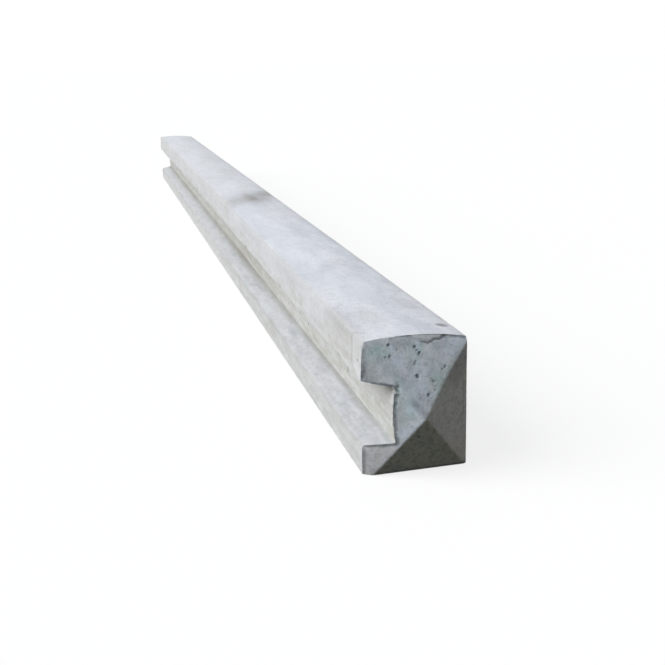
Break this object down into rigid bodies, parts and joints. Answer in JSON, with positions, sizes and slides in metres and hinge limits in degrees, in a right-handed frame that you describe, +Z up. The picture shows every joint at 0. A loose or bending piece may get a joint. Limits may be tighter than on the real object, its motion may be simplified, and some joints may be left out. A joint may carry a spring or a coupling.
{
  "type": "slotted concrete fence post",
  "caption": "Precast concrete end post for a fence: a tapered panel slot down its side, a plain back, a crowned trowelled face and a pyramid-weathered top.",
  "frame": {"origin": "on the bed that the post lies on, under the middle of its box", "axes": "+Y along the post from the tip of the weathered top to the foot, +X from the slotted side to the plain side, +Z up from the moulded face to the trowelled face"},
  "size_m": [0.1, 2.3998, 0.1292],
  "materials": {
    "concrete": "matte, cast in a steel mould, upper face trowelled by hand"
  },
  "bodies": {
    "root": {"slotted_end_post": "concrete"}
  },
  "joints": []
}
